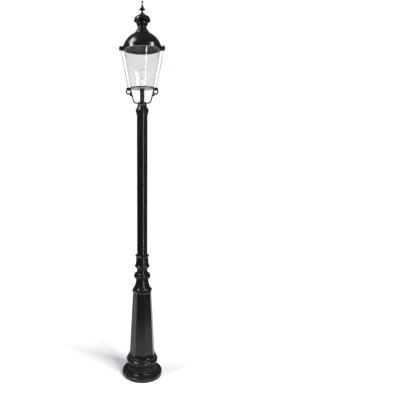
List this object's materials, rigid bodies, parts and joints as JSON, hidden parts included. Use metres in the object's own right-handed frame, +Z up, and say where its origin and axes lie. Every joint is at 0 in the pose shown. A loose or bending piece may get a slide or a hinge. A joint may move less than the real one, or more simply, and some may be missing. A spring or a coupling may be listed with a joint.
{
  "type": "street lamp post",
  "caption": "Black cast and tubular post with an octagonal pedestal, carrying a conical clear-glass lantern under a hinged domed hood with a turned finial.",
  "frame": {"origin": "centre of the foundation flange's underside", "axes": "+Z up the post; +X towards the hood's latch, -X towards the hood's hinge; -Y to the front, the service door faces the back"},
  "size_m": [0.38, 0.353, 3.1968],
  "materials": {
    "black_paint": "semi-gloss black powder coat",
    "black_tube": "semi-gloss black powder coat on steel tube",
    "brass": "satin brass",
    "steel": "satin",
    "zinc": "zinc plated",
    "ceramic": "glazed ceramic",
    "rubber": "matt",
    "clear_glass": "clear, polished",
    "grey_plastic": "moulded"
  },
  "bodies": {
    "post": {"pedestal": "black_paint", "door_hinge_leaf": "black_paint", "door_hinge_pin": "steel", "hinge_leaf_screws": "steel", "baluster": "black_paint", "baluster_bolts": "zinc", "baluster_grub_screws": "zinc", "terminal_rail": "zinc", "terminal_box": "grey_plastic", "terminal_cover": "grey_plastic", "terminal_block": "ceramic", "cable_gland": "rubber", "earth_stud": "brass", "lamp_cable": "rubber", "post_tube": "black_tube", "post_cap": "black_paint", "lantern_collar": "black_paint", "collar_grub_screws": "zinc", "stem_tube": "black_paint", "stem_nut": "zinc", "yoke_arm_left": "black_paint", "yoke_arm_right": "black_paint", "bottom_hoop": "black_paint", "tray_plate": "steel", "tray_screws": "steel", "lower_gasket": "rubber", "glass_shade": "clear_glass", "tie_rod_left": "brass", "tie_rod_right": "brass", "rod_collars": "brass", "rod_nuts": "brass", "holder_bracket": "zinc", "lamp_holder": "ceramic", "holder_contact": "brass"},
    "service_door": {"service_door": "black_paint"},
    "door_lock": {"door_lock_screw": "zinc", "door_screw_ring": "steel"},
    "hood": {"hood_rim": "black_paint", "hood_dome": "black_paint", "upper_gasket": "rubber", "rim_screws": "zinc", "ventilator_neck": "black_paint", "ventilator_cap": "black_paint", "finial": "black_paint", "stack_rod": "zinc", "stack_washer": "zinc", "stack_nut": "zinc", "hood_hinge_pin": "brass", "latch_washer": "brass"},
    "latch": {"latch_screw": "brass", "latch_ring": "steel"},
    "bulb": {"bulb_cap": "steel", "bulb_glass": "clear_glass", "bulb_mount": "clear_glass"}
  },
  "joints": [
    {"name": "door_hinge", "type": "hinge", "parent": "post", "child": "service_door", "pos_m": [0.04716, 0.094, 0.35015], "axis": [0.008, 0.0477, -0.9988], "range_deg": [0, 110]},
    {"name": "door_lock_screw", "type": "slide", "parent": "service_door", "child": "door_lock", "axis": [0.1649, 0.9851, 0.0483], "range_m": [0, 0.004]},
    {"name": "hood_hinge", "type": "hinge", "parent": "post", "child": "hood", "pos_m": [-0.179, 0, 2.824], "axis": [0, -1, 0], "range_deg": [0, 95]},
    {"name": "hood_latch_screw", "type": "slide", "parent": "hood", "child": "latch", "axis": [0, 0, 1], "range_m": [0, 0.009]},
    {"name": "bulb_out", "type": "slide", "parent": "post", "child": "bulb", "axis": [0, 0, 1], "range_m": [0, 0.045]}
  ]
}
